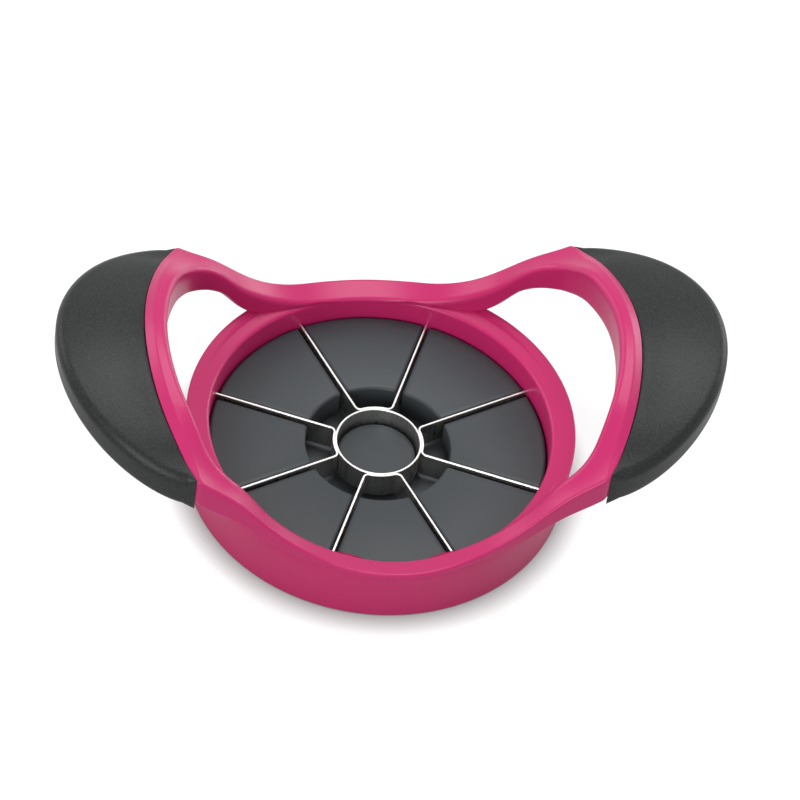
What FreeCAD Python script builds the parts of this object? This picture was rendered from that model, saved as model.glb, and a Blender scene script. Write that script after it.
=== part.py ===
import FreeCAD, Part
import Sketcher
import math
import os

from FreeCAD import Placement, Rotation, Vector

# A push-down slicer that cuts an apple into wedges and cores it, standing over its
# pop-out base.  Millimetres, +Z up, +X towards the right-hand grip, origin at the
# centre of the circle that the skirt stands on.

doc = FreeCAD.newDocument("apple_slicer")

# ---------------------------------------------------------------- driving sizes
SIZES = {
    # throat, funnel and rim of the handle frame
    "throat_radius": 47.0,
    "throat_wall": 1.8,
    "rim_room": 3.6,
    "rim_overhang": 0.2,
    "rim_height": 18.5,
    "rim_edge": 1.5,
    "side_rise": 1.3,
    "funnel_fall": 1.67,
    "funnel_fade": 30.0,
    # skirt and its seat under the rim
    "skirt_foot_wall": 1.9,
    "skirt_top_wall": 2.8,
    "seam_rise": 1.7,
    "seam_spread": 22.0,
    "spigot_depth": 3.0,
    "fit_gap": 0.1,
    "bead_reach": 0.5,
    "bead_height": 0.8,
    # arms and finger loops of the handle frame
    "arm_start_angle": 72.0,
    "arm_inner_angle": 76.0,
    "arm_foot_reach": 30.0,
    "arm_half_width": 42.5,
    "arm_lip": 1.5,
    "arm_depth": 9.2,
    "arm_swell": 41.0,
    "arm_power": 2.38,
    "shoulder_place": 44.0,
    "shoulder_bulge": 4.1,
    "shoulder_width": 11.0,
    "corner_rise": 1.0,
    "corner_inset": 1.0,
    "corner_length": 9.0,
    "corner_side": 32.0,
    "corner_width": 10.0,
    "loop_room": 7.4,
    "loop_corner": 14.0,
    "loop_band": 6.0,
    "loop_height": 57.2,
    "loop_curve": 81.0,
    "level_start": 34.0,
    "level_end": 48.0,
    "level_loop": 22.0,
    "level_side": 46.0,
    "floor_lean": 0.45,
    # soft grips
    "grip_inset": 1.0,
    "grip_length": 24.0,
    "grip_side_power": 2.02,
    "grip_tip_power": 1.39,
    "grip_bulge": 2.46,
    "grip_peak_out": 11.5,
    "grip_drop": 0.23,
    "grip_fall": 0.004,
    "grip_crown": 0.0063,
    "grip_step": 0.4,
    "grip_blend": 8.0,
    "grip_depth": 11.0,
    "grip_thinning": 1.7,
    "tongue_border": 6.5,
    "tongue_skin": 2.6,
    # blades, core tube and what clamps them
    "blade_top": 11.0,
    "blade_bottom": 2.7,
    "blade_thickness": 0.6,
    "blade_bend": 1.2,
    "strip_count": 4,
    "strip_angle": 45.0,
    "tab_length": 3.3,
    "tab_gap": 0.05,
    "core_bore_radius": 11.4,
    "core_wall": 0.6,
    "clamp_bottom": 2.5,
    "clamp_thickness": 1.6,
    "screw_radius": 0.8,
    "screw_length": 8.0,
    "screw_head_radius": 1.3,
    "screw_head_height": 0.9,
    "screw_angle": 18.0,
    # pop-out base
    "base_gap": 0.5,
    "plate_drop": 0.5,
    "plate_thickness": 1.3,
    "pad_top": 10.2,
    "pad_inner_radius": 20.0,
    "post_top": 6.0,
    "foot_margin": 3.6,
    "foot_width": 5.0,
    "foot_thickness": 1.0,
}

# Sizes that follow from the driving ones, so that each piece stays seated on its neighbour.
FITS = {
    "skirt_bore_radius": "throat_radius + rim_room",
    "skirt_foot_radius": "skirt_bore_radius + skirt_foot_wall",
    "skirt_top_radius": "skirt_bore_radius + skirt_top_wall",
    "rim_radius": "skirt_top_radius + rim_overhang",
    "seam_height": "rim_height - rim_edge",
    "spigot_radius": "skirt_bore_radius - fit_gap",
    "spigot_bottom": "seam_height - spigot_depth",
    "bead_bottom": "seam_height - spigot_depth / 2 - bead_height / 2",
    "join_height": "seam_height - ( spigot_depth - bead_height ) / 4",
    "loop_radius": "rim_radius + loop_room",
    "loop_reach": "loop_radius + loop_band",
    "corner_place": "loop_radius - corner_inset",
    "grip_half_width": "arm_half_width - grip_inset",
    "grip_reach": "loop_reach + grip_length",
    "grip_peak": "loop_reach + grip_peak_out",
    "grip_height": "loop_height - grip_drop",
    "hub_radius": "core_bore_radius + core_wall",
    "clamp_top": "clamp_bottom + clamp_thickness",
    "plate_top": "plate_drop + plate_thickness",
    "disc_radius": "skirt_bore_radius - base_gap",
    "foot_outer_radius": "disc_radius - foot_margin",
    "foot_inner_radius": "foot_outer_radius - foot_width",
}

# How many spans the free-form surfaces and curves have, along x and along y.
ARM_SPAN_COUNTS = (36, 20)
RIM_SPAN_COUNTS = (8, 8)
GRIP_SPAN_COUNTS = (16, 12)
SEAM_SPAN_COUNT = 24
BOW_SPAN_COUNT = 16


def cell(expression, own=""):
    """Put its sheet's name in front of every alias, except those of the sheet it stands in."""
    words = []
    for word in expression.split():
        home = "Sizes" if word in SIZES else "Fits" if word in FITS else own
        words.append(word if home == own else home + "." + word)
    return " ".join(words)


def fill_sheet(name, texts):
    sheet = doc.addObject("Spreadsheet::Sheet", name)
    for row, (alias, text) in enumerate(texts.items(), start=1):
        sheet.set("A%d" % row, alias)
        sheet.set("B%d" % row, text)
        sheet.setAlias("B%d" % row, alias)
    doc.recompute()
    return sheet


sizes = fill_sheet("Sizes", {name: str(value) for name, value in SIZES.items()})
fits = fill_sheet("Fits", {name: "=" + cell(text, "Fits") for name, text in FITS.items()})


def size(name):
    return float((sizes if name in SIZES else fits).get(name))


def bind(item, **expressions):
    """Tie properties of a document object to the sheets' cells."""
    for prop, expression in expressions.items():
        item.setExpression(prop.replace("__", "."), cell(expression))
    return item


def polar(radius, degrees):
    angle = math.radians(degrees)
    return Vector(radius * math.cos(angle), radius * math.sin(angle), 0)


# ------------------------------------------------------- building blocks: Part
def cylinder(name, radius, height, bottom=None):
    item = doc.addObject("Part::Cylinder", name)
    bind(item, Radius=radius, Height=height)
    if bottom:
        bind(item, Placement__Base__z=bottom)
    return item


def cut(name, base, tool):
    item = doc.addObject("Part::Cut", name)
    item.Base = base
    item.Tool = tool
    return item


def ring(name, outer, inner, height, bottom=None):
    """An upright tube between two radii."""
    body = cylinder(name + "_outside", outer, height, bottom)
    bore = cylinder(name + "_inside", inner, height, bottom)
    return cut(name, body, bore)


def fuse(name, items):
    item = doc.addObject("Part::MultiFuse", name)
    item.Shapes = items
    return item


def feature(name, shape):
    item = doc.addObject("Part::Feature", name)
    item.Shape = shape
    return item


def tube(outer, inner, bottom, top):
    """The same tube as a bare shape, for the pieces that are made as shapes."""
    height = top - bottom
    at = Vector(0, 0, bottom)
    return Part.makeCylinder(outer, height, at).cut(Part.makeCylinder(inner, height, at))


# ------------------------------------------------- building blocks: PartDesign
def new_body(name):
    return doc.addObject("PartDesign::Body", name)


def sketch_on(body, name, lift):
    """A sketch parallel to the ground, lifted to a height of the sheet."""
    plane = next(item for item in body.Origin.OriginFeatures if item.Role == "XY_Plane")
    sketch = body.newObject("Sketcher::SketchObject", name)
    sketch.AttachmentSupport = [(plane, "")]
    sketch.MapMode = "FlatFace"
    sketch.setExpression("AttachmentOffset.Base.z", cell(lift))
    return sketch


def circle_in(sketch, radius):
    """A circle about the sketch's origin, its radius bound to the sheet."""
    middle = Vector(0, 0, 0)
    index = sketch.addGeometry(Part.Circle(middle, Vector(0, 0, 1), 1.0 + sketch.GeometryCount), False)
    sketch.addConstraint(Sketcher.Constraint("Coincident", index, 3, -1, 1))
    limit = sketch.addConstraint(Sketcher.Constraint("Radius", index, 1.0 + index))
    sketch.setExpression("Constraints[%d]" % limit, cell(radius))


def pad(body, name, sketch, length):
    item = body.newObject("PartDesign::Pad", name)
    item.Profile = sketch
    return bind(item, Length=length)


def pocket(body, name, sketch, length):
    """Cut upwards from the sketch."""
    item = body.newObject("PartDesign::Pocket", name)
    item.Profile = sketch
    item.Reversed = True
    return bind(item, Length=length)


# --------------------------------------------------------------- outer surfaces
def smooth_step(value, low, high):
    share = min(max((value - low) / (high - low), 0.0), 1.0)
    return share ** 2 * (3 - 2 * share)


def inwards(x, y):
    """How far a place on the loops lies in from their outer edge, fading out along the arms."""
    level = smooth_step(abs(x), size("level_start"), size("level_end"))
    level *= 1 - smooth_step(abs(y), size("level_loop"), size("level_side"))
    return (edge_x(y) - abs(x)) * level


def arm_height(x, y):
    """Height of the arms' top, which the loops carry level across their width."""
    along = abs(x) + inwards(x, y)
    share = along / size("loop_reach")
    sweep = (size("loop_height") - size("rim_height")) * share ** size("arm_power")
    offset = (along - size("shoulder_place")) / size("shoulder_width")
    return size("rim_height") + sweep + size("shoulder_bulge") * math.exp(-offset ** 2)


def funnel_height(x, y):
    """The rim's top, which slopes inwards to the throat and rises a little at both sides."""
    side = size("side_rise") * (x / size("rim_radius")) ** 2
    return size("rim_height") + side - funnel_drop(x, y)


def funnel_drop(x, y):
    """How far the funnel lies under the rim: nothing at its edge, its full fall at the throat."""
    rim = size("rim_radius") ** 2
    return size("funnel_fall") * (rim - x ** 2 - y ** 2) / (rim - size("throat_radius") ** 2)


def corner_bump(x, y):
    """The loops' four corners stand a little higher than their middle."""
    along = (abs(x) - size("corner_place")) / size("corner_length")
    across = (abs(y) - size("corner_side")) / size("corner_width")
    return size("corner_rise") * math.exp(-along ** 2 - across ** 2)


def arm_floor(x, y):
    """The arms' underside: a thin lip in the middle, deepest along the loops' inner edge."""
    share = 1 - math.exp(-(abs(x) / size("arm_swell")) ** 3)
    deep = size("arm_lip") + (size("arm_depth") - size("arm_lip")) * share
    return arm_height(x, y) + corner_bump(x, y) - deep - size("floor_lean") * inwards(x, y)


def seam_line(x):
    """Where skirt and frame meet: lowest at the front and back, a little higher at the sides."""
    return size("seam_height") + size("seam_rise") * (1 - math.exp(-(x / size("seam_spread")) ** 2))


def crest_height(x, y):
    """The arms' top: the funnel's slope in the middle, level across further out."""
    fade = 1.0 / (1.0 + (x / size("funnel_fade")) ** 6)
    return arm_height(x, y) + corner_bump(x, y) - funnel_drop(x, y) * fade


def grip_dome(x, y):
    fall = size("grip_fall") * (x - size("grip_peak")) ** 2
    return size("grip_height") - fall - size("grip_crown") * y ** 2


def grip_top(x, y):
    """The dome, brought down beside the loop to lie one small step under the loop's edge."""
    edge = edge_x(y)
    dip = grip_dome(edge, y) - crest_height(edge, y) + size("grip_step")
    return grip_dome(x, y) - dip / (1 + ((x - edge) / size("grip_blend")) ** 2)


def grip_floor(x, y):
    """The grip's underside, which comes up towards the tip."""
    share = max((x - corner_x()) / (size("grip_reach") - corner_x()), 0.0)
    return grip_dome(x, y) - size("grip_depth") + size("grip_thinning") * share ** 3


def beyond():
    """A length that runs well past the part at both ends."""
    return 4 * size("loop_height")


def block_under(height, low, high, steps, bottom):
    """A block whose top is the surface z = height(x, y) over a rectangle."""
    span = [(high[axis] - low[axis]) / steps[axis] for axis in range(2)]
    grid = []
    for column in range(steps[0] + 1):
        x = low[0] + span[0] * column
        line = [low[1] + span[1] * row for row in range(steps[1] + 1)]
        grid.append([Vector(x, y, height(x, y)) for y in line])
    surface = Part.BSplineSurface()
    surface.interpolate(grid)
    deep = surface.toShape().extrude(Vector(0, 0, -beyond()))
    width = high[0] - low[0]
    depth = high[1] - low[1]
    floor = Part.makeBox(width, depth, beyond(), Vector(low[0], low[1], bottom))
    return deep.common(floor)


def bank_under(height, reach, half_width, spans):
    """A bank along y whose top is the curve z = height(x) from -reach to reach."""
    span = 2 * reach / spans
    places = [-reach + span * step for step in range(spans + 1)]
    crest = Part.BSplineCurve()
    crest.interpolate([Vector(x, -half_width, height(x)) for x in places])
    ends = [crest.StartPoint, crest.EndPoint]
    deep = [Vector(point.x, point.y, -size("loop_height")) for point in ends]
    border = [crest.toShape(), Part.makeLine(ends[1], deep[1]), Part.makeLine(deep[1], deep[0]),
              Part.makeLine(deep[0], ends[0])]
    return Part.Face(Part.Wire(border)).extrude(Vector(0, 2 * half_width, 0))


# ------------------------------------------------------------------ plan outlines
def loop_edge(radius_change=0.0):
    """Centre and radius of the arc where the loop ends and the grip begins."""
    radius = size("loop_curve") + radius_change
    return size("loop_reach") - size("loop_curve"), radius


def edge_x(y):
    middle, radius = loop_edge()
    return middle + math.sqrt(radius ** 2 - y ** 2)


def corner_x():
    return edge_x(size("grip_half_width"))


def mirrored(points, x_sign, y_sign):
    return [Vector(x_sign * point.x, y_sign * point.y, 0) for point in points]


def arc_through(points):
    return Part.Arc(*points).toShape()


def band_outside():
    """Outline of the whole frame: rim circle, arms that flare to the corners, loops."""
    start = polar(size("rim_radius"), size("arm_start_angle"))
    half = size("arm_half_width")
    corner = Vector(edge_x(half), half, 0)
    along = Vector(start.y, -start.x, 0).normalize()
    chord = corner - start
    turn = math.atan2(along.cross(chord).z, along.dot(chord))
    across = Vector(chord.y, -chord.x, 0).normalize()
    middle = (start + corner) * 0.5 + across * (chord.Length / 2 * math.tan(turn / 2))
    flare = [start, middle, corner]
    tip = Vector(size("loop_reach"), 0, 0)
    top = polar(size("rim_radius"), 90)
    edges = []
    for x_sign in (1, -1):
        for y_sign in (1, -1):
            edges.append(arc_through(mirrored(flare, x_sign, y_sign)))
        below = Vector(corner.x, -corner.y, 0)
        edges.append(arc_through(mirrored([corner, tip, below], x_sign, 1)))
    for y_sign in (1, -1):
        left = Vector(-start.x, start.y, 0)
        edges.append(arc_through(mirrored([start, top, left], 1, y_sign)))
    return Part.Face(Part.Wire(Part.sortEdges(edges)[0]))


def band_inside():
    """The frame's opening: throat arcs, straight inner edges of the arms, loop arcs."""
    radius = size("loop_corner")
    touch = polar(size("throat_radius"), size("arm_inner_angle"))
    along = Vector(touch.y, -touch.x, 0).normalize()
    offset = size("throat_radius") - radius
    reach = math.sqrt((size("loop_radius") - radius) ** 2 - offset ** 2)
    centre = polar(offset, size("arm_inner_angle")) + along * reach
    line_end = centre + polar(radius, size("arm_inner_angle"))
    outward = Vector(centre).normalize()
    arc_end = centre + outward * radius
    halfway = (line_end + arc_end) * 0.5 - centre
    bend = centre + halfway.normalize() * radius
    tip = Vector(size("loop_radius"), 0, 0)
    top = polar(size("throat_radius"), 90)
    edges = []
    for x_sign in (1, -1):
        for y_sign in (1, -1):
            ends = mirrored([touch, line_end], x_sign, y_sign)
            edges.append(Part.LineSegment(*ends).toShape())
            edges.append(arc_through(mirrored([line_end, bend, arc_end], x_sign, y_sign)))
        below = Vector(arc_end.x, -arc_end.y, 0)
        edges.append(arc_through(mirrored([arc_end, tip, below], x_sign, 1)))
    for y_sign in (1, -1):
        left = Vector(-touch.x, touch.y, 0)
        edges.append(arc_through(mirrored([touch, top, left], 1, y_sign)))
    return Part.Face(Part.Wire(Part.sortEdges(edges)[0]))


def grip_plan(border=0.0, inset=0.0):
    """The right grip's outline: the loop's edge and a blunt bow round the tip."""
    half = size("grip_half_width") - border
    tip = size("grip_reach") - border
    middle, radius = loop_edge(-inset)
    corner = middle + math.sqrt(radius ** 2 - half ** 2)
    points = []
    for step in range(BOW_SPAN_COUNT + 1):
        turn = math.pi * (step / BOW_SPAN_COUNT - 0.5)
        side = abs(math.sin(turn)) ** (2 / size("grip_side_power"))
        out = max(math.cos(turn), 0.0) ** (2 / size("grip_tip_power"))
        y = math.copysign(half * side, turn) + size("grip_bulge") * math.sin(2 * turn)
        points.append(Vector(corner + (tip - corner) * out, y, 0))
    bow = Part.BSplineCurve()
    bow.interpolate(points)
    inner = [points[0], Vector(middle + radius, 0, 0), points[-1]]
    return Part.Face(Part.Wire([bow.toShape(), arc_through(inner)]))


def tall(face):
    """The upright prism over a plan outline."""
    return face.extrude(Vector(0, 0, beyond()))


# ------------------------------------------------------------------- handle frame
def grip_slab(skin):
    """The layer between the grip's top and underside, less a skin on both faces."""
    low = (corner_x() - size("tongue_border") * 2, -size("grip_half_width") - 1)
    high = (size("grip_reach") + 1, size("grip_half_width") + 1)

    def top(x, y):
        return grip_top(x, y) - skin

    def floor(x, y):
        return grip_floor(x, y) + skin

    upper = block_under(top, low, high, GRIP_SPAN_COUNTS, 0)
    return upper.cut(block_under(floor, low, high, GRIP_SPAN_COUNTS, -size("loop_height")))


def tongue_shape():
    """The stiff core that the loop sends into the right grip."""
    inset = size("loop_reach") - size("loop_radius") - 1
    plan = tall(grip_plan(size("tongue_border"), inset))
    return plan.common(grip_slab(size("tongue_skin")))


def arms_shape():
    """Both arms with their loops, and the feet by which they grow out of the rim."""
    reach = size("loop_reach") + 1
    width = size("rim_radius") + 1
    foot = size("arm_foot_reach")
    band = tall(band_outside()).cut(tall(band_inside()))
    low = (-reach, -width)
    high = (reach, width)
    body = band.common(block_under(crest_height, low, high, ARM_SPAN_COUNTS, size("join_height")))
    column = Part.makeBox(2 * foot, 2 * width, beyond(), Vector(-foot, -width, 0))
    feet = column.common(Part.makeCylinder(size("rim_radius"), beyond()))
    return body.cut(block_under(arm_floor, low, high, ARM_SPAN_COUNTS, 0).cut(feet))


def skirt_space():
    """The room under the rim that the skirt fills, with its fit gap at the spigot."""
    reach = size("rim_radius") + 1
    bank = bank_under(seam_line, reach, reach, SEAM_SPAN_COUNT)
    return bank.common(tube(reach, size("spigot_radius"), 0, 2 * size("seam_height")))


def rim_shape():
    """The rim and its funnel, the throat wall below and the spigot in the skirt."""
    seam = size("seam_height")
    reach = size("rim_radius") + 1
    low = size("spigot_bottom")
    top = block_under(funnel_height, (-reach, -reach), (reach, reach), RIM_SPAN_COUNTS, low)
    flange = tube(size("rim_radius"), size("throat_radius"), low, 2 * seam).common(top)
    over = Part.makeBox(4 * reach, 4 * reach, 2 * seam,
                        Vector(-2 * reach, -2 * reach, size("join_height")))
    flange = flange.cut(tall(band_outside()).cut(tall(band_inside())).common(over))
    wall = tube(size("throat_radius") + size("throat_wall"), size("throat_radius"),
                size("clamp_top"), low)
    bead_low = size("bead_bottom") - size("fit_gap")
    bead_high = size("bead_bottom") + size("bead_height") + size("fit_gap")
    groove = tube(reach, size("spigot_radius") - size("bead_reach"), bead_low, bead_high)
    return flange.fuse(wall).cut(groove)


def screw_circle():
    """The screws stand halfway between the throat and the skirt's bore."""
    return (size("throat_radius") + size("skirt_bore_radius")) / 2


def screw_places():
    angles = [90 - size("screw_angle"), 90 + size("screw_angle")]
    return [polar(screw_circle(), angle + half) for half in (0, 180) for angle in angles]


def upright(radius, place, bottom, top):
    return Part.makeCylinder(radius, top - bottom, Vector(place.x, place.y, bottom))


def blade_angles():
    """Direction of every leg of the blade strips."""
    turn = 360 / size("strip_count")
    half = size("strip_angle") / 2
    return [turn * index + side for index in range(int(size("strip_count"))) for side in (-half, half)]


def frame_shape():
    frame = arms_shape().fuse(rim_shape()).cut(skirt_space())
    tongue = tongue_shape()
    frame = frame.fuse([tongue, tongue.mirror(Vector(0, 0, 0), Vector(1, 0, 0))])
    boss_radius = (size("skirt_bore_radius") - size("throat_radius")) / 2 - size("fit_gap")
    depth = size("screw_length") - size("clamp_thickness")
    for place in screw_places():
        frame = frame.fuse(upright(boss_radius, place, size("clamp_top"),
                                   size("spigot_bottom")))
        hole = upright(size("screw_radius"), place, size("clamp_top"), size("clamp_top") + depth)
        frame = frame.cut(hole)
    width = size("blade_thickness") + 2 * size("tab_gap")
    length = size("skirt_bore_radius") - size("throat_radius") + 2
    height = size("blade_top") + size("tab_gap") - size("clamp_top")
    for angle in blade_angles():
        slot = Part.makeBox(length, width, height,
                            Vector(size("throat_radius") - 1, -width / 2, size("clamp_top")))
        slot.rotate(Vector(0, 0, 0), Vector(0, 0, 1), angle)
        frame = frame.cut(slot)
    return frame.removeSplitter()


handle_frame = feature("handle_frame", frame_shape())

# ------------------------------------------------------------------- soft grips
grip_shape = tall(grip_plan()).common(grip_slab(0.0)).cut(tongue_shape())
right_grip = feature("right_grip", grip_shape)
left_grip = feature("left_grip", grip_shape.mirror(Vector(0, 0, 0), Vector(1, 0, 0)))

# ------------------------------------------------------------------------ skirt
skirt_wall = doc.addObject("Part::Cone", "skirt_wall")
bind(skirt_wall, Radius1="skirt_foot_radius", Radius2="skirt_top_radius",
     Height="seam_height + seam_rise")
skirt_bore = cylinder("skirt_bore", "skirt_bore_radius", "2 * seam_height")
skirt_tube = cut("skirt_tube", skirt_wall, skirt_bore)
skirt_shell = doc.addObject("Part::Common", "skirt_shell")
skirt_shell.Base = skirt_tube
skirt_shell.Tool = feature("skirt_trim", skirt_space())
bead = ring("skirt_bead", "skirt_bore_radius + fit_gap", "skirt_bore_radius - bead_reach",
            "bead_height", "bead_bottom")
skirt_ring = fuse("skirt_ring", [skirt_shell, bead])

# --------------------------------------------------------- core tube and blades
core_tube = ring("core_tube", "hub_radius", "core_bore_radius",
                 "blade_top - blade_bottom", "blade_bottom")


def strip_outline():
    """Plan of a strip folded round the hub: leg, bend, hub arc, bend, leg."""
    half = size("strip_angle") / 2
    thick = size("blade_thickness")
    bend = size("blade_bend")
    hub_inside = size("hub_radius")
    hub_outside = hub_inside + thick
    end = size("throat_radius") + size("tab_length")
    out = polar(1, half)
    across = Vector(-out.y, out.x, 0)
    run = math.sqrt((hub_outside + bend) ** 2 - (thick / 2 + bend) ** 2)
    centre = out * run - across * (thick / 2 + bend)
    inward = Vector(centre).normalize()

    def bent(radius, first, last):
        middle = (first + last) * 0.5 - centre
        return [first, centre + middle.normalize() * radius, last]

    outer_bend = bent(bend + thick, out * run + across * (thick / 2), inward * hub_inside)
    inner_bend = bent(bend, out * run - across * (thick / 2), inward * hub_outside)
    outer_tip = out * end + across * (thick / 2)
    inner_tip = out * end - across * (thick / 2)
    pieces = []
    for sign in (1, -1):
        for tip, turned in ((outer_tip, outer_bend), (inner_tip, inner_bend)):
            ends = mirrored([tip, turned[0]], 1, sign)
            pieces.append(Part.LineSegment(*ends))
            pieces.append(Part.Arc(*mirrored(turned, 1, sign)))
        pieces.append(Part.LineSegment(*mirrored([outer_tip, inner_tip], 1, sign)))
    for turned, radius in ((outer_bend, hub_inside), (inner_bend, hub_outside)):
        last = turned[2]
        pieces.append(Part.Arc(last, Vector(radius, 0, 0), Vector(last.x, -last.y, 0)))
    return pieces


def blade_strip(name, turn):
    body = new_body(name)
    outline = sketch_on(body, name + "_outline", "blade_bottom")
    outline.addGeometry(strip_outline(), False)
    pad(body, name + "_pad", outline, "blade_top - blade_bottom")
    step = sketch_on(body, name + "_step", "blade_bottom")
    circle_in(step, "throat_radius")
    circle_in(step, "skirt_bore_radius")
    pocket(body, name + "_notch", step, "clamp_top - blade_bottom")
    body.Placement = Placement(Vector(0, 0, 0), Rotation(Vector(0, 0, 1), turn))
    return body


STRIP_SIDES = ("right", "back", "left", "front")
strips = []
for index, side in enumerate(STRIP_SIDES):
    strips.append(blade_strip("blade_strip_" + side, 360 / size("strip_count") * index))

# ----------------------------------------------------------- clamp ring, screws
clamp_blank = ring("clamp_blank", "spigot_radius", "throat_radius + fit_gap",
                   "clamp_thickness", "clamp_bottom")
drillings = []
screws = []
for place in screw_places():
    gap = size("fit_gap")
    head_top = size("clamp_bottom") + size("screw_head_height")
    head = upright(size("screw_head_radius"), place, size("clamp_bottom"), head_top)
    shank = upright(size("screw_radius"), place, head_top, size("clamp_bottom") + size("screw_length"))
    screws.append(head.fuse(shank))
    recess = upright(size("screw_head_radius") + gap, place, size("clamp_bottom"), head_top)
    hole = upright(size("screw_radius") + gap, place, size("clamp_bottom"), size("clamp_top"))
    drillings.append(recess.fuse(hole))
clamp_ring = cut("clamp_ring", clamp_blank, feature("clamp_drillings", Part.makeCompound(drillings)))
frame_screws = feature("frame_screws", Part.makeCompound(screws))

# ------------------------------------------------------------------ pop-out base
base_plate = new_body("base_plate")
disc = sketch_on(base_plate, "disc", "plate_drop")
circle_in(disc, "disc_radius")
pad(base_plate, "disc_pad", disc, "plate_thickness")

pads = sketch_on(base_plate, "pads", "plate_top")
circle_in(pads, "throat_radius - base_gap")
circle_in(pads, "pad_inner_radius")
pad(base_plate, "pads_pad", pads, "pad_top - plate_top")

slots = sketch_on(base_plate, "slots", "plate_top")
slot_half = size("blade_thickness") / 2 + size("base_gap")
slot_reach = size("skirt_bore_radius")
for angle in blade_angles()[:len(blade_angles()) // 2]:
    along = polar(slot_reach, angle)
    aside = polar(slot_half, angle + 90)
    corners = [along + aside, aside - along, -along - aside, along - aside]
    for first, second in zip(corners, corners[1:] + corners[:1]):
        slots.addGeometry(Part.LineSegment(first, second), False)
pocket(base_plate, "slots_pocket", slots, "pad_top - plate_top")

post = sketch_on(base_plate, "post", "plate_top")
circle_in(post, "core_bore_radius - base_gap")
pad(base_plate, "post_pad", post, "post_top - plate_top")

groove = sketch_on(base_plate, "foot_groove", "plate_drop")
circle_in(groove, "foot_outer_radius")
circle_in(groove, "foot_inner_radius")
pocket(base_plate, "foot_groove_pocket", groove, "foot_thickness - plate_drop")

base_foot_ring = ring("base_foot_ring", "foot_outer_radius", "foot_inner_radius",
                      "foot_thickness")

# ---------------------------------------------------------------- check and write
doc.recompute()

NODES = [base_plate, base_foot_ring, handle_frame, skirt_ring, left_grip, right_grip,
         core_tube, clamp_ring, frame_screws] + strips

for item in doc.Objects:
    if {"Invalid", "Error"} & set(item.State):
        raise RuntimeError("%s failed: %s" % (item.Label, item.State))

os.makedirs("parts", exist_ok=True)
for node in NODES:
    if node.Shape.isNull() or not node.Shape.isValid():
        raise RuntimeError("%s has no valid shape" % node.Label)
    node.Shape.exportStep("parts/%s.step" % node.Label)
    box = node.Shape.BoundBox
    print("%-20s solids %d  volume %8.1f  x %6.1f..%5.1f  y %6.1f..%5.1f  z %5.1f..%5.1f" % (
        node.Label, len(node.Shape.Solids), node.Shape.Volume,
        box.XMin, box.XMax, box.YMin, box.YMax, box.ZMin, box.ZMax))
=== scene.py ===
import math

import bmesh
import bpy
from mathutils import Matrix, Vector


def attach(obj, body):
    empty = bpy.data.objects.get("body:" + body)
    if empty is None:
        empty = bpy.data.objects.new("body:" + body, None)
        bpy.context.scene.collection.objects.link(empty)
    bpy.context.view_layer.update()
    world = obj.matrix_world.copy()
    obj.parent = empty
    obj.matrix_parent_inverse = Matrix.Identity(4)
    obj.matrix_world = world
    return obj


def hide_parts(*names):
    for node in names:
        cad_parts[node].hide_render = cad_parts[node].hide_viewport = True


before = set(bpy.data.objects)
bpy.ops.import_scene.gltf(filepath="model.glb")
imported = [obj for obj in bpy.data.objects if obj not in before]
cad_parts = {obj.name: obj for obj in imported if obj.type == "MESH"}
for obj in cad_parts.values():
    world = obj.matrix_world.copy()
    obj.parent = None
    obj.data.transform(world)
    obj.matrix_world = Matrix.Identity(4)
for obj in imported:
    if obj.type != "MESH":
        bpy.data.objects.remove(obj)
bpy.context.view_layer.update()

# An apple slicer: magenta moulded frame and skirt, charcoal soft grips, steel blades round a
# coring tube, grey pop-out base. Shapes are worked out in millimetres and stored in metres.
mm = 0.001
welds = {"coarse": 0.004, "fine": 0.002}             # how near two vertices are before they join


# Smoothly from 0 at low to 1 at high.
def smoothStep(value, low, high):
    share = min(max((value - low) / (high - low), 0.0), 1.0)
    return share * share * (3 - 2 * share)


# Equal shares of a run, and equal angles of a quarter turn, both ends included. A run of
# points leaves out its last where the next run starts with it.
def shares(steps):
    return [step / steps for step in range(steps + 1)]


def quarterTurn(steps):
    return [math.pi / 2 * step / steps for step in range(steps + 1)]


def polar(radius, degrees):
    angle = math.radians(degrees)
    return Vector((radius * math.cos(angle), radius * math.sin(angle), 0))


# A point of the soft curve that turns one corner.
def turned(start, corner, end, share):
    return start * (1 - share) ** 2 + corner * 2 * share * (1 - share) + end * share ** 2


# Points that round one corner of a profile; its neighbours only give the two directions.
def cornerArc(corner, before, after, radius, steps=5):
    corner, before, after = Vector(corner), Vector(before), Vector(after)
    start = corner + (before - corner).normalized() * radius
    end = corner + (after - corner).normalized() * radius
    return [turned(start, corner, end, share)[:] for share in shares(steps)]


# How far a rounded edge lies under the sharp one, at a distance in from it.
def roundDrop(radius, distance):
    if radius <= 0 or distance >= radius:
        return 0.0
    return radius - math.sqrt(max(radius ** 2 - (radius - distance) ** 2, 0.0))


# A sheet of quads wrapped over a shape: place(station, section place) gives each vertex.
def skin(stations, places, place):
    bm = bmesh.new()
    bmesh.ops.create_grid(bm, x_segments=stations, y_segments=places, size=0.5)
    for vert in bm.verts:
        vert.co = place(round((vert.co.x + 0.5) * stations), round((vert.co.y + 0.5) * places))
    return bm


# A profile of (radius, height) pairs turned once round the upright axis.
def spun(profile, steps):
    bm = bmesh.new()
    verts = [bm.verts.new((radius, 0, height)) for radius, height in profile]
    edges = [bm.edges.new(pair) for pair in zip(verts, verts[1:] + verts[:1])]
    bmesh.ops.spin(bm, geom=verts + edges, axis=(0, 0, 1), cent=(0, 0, 0), steps=steps,
                   angle=math.tau, use_merge=True)
    return bm


def mirrorOver(bm, axis):
    bmesh.ops.mirror(bm, geom=bm.verts[:] + bm.edges[:] + bm.faces[:], axis=axis,
                     merge_dist=welds["fine"])


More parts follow.
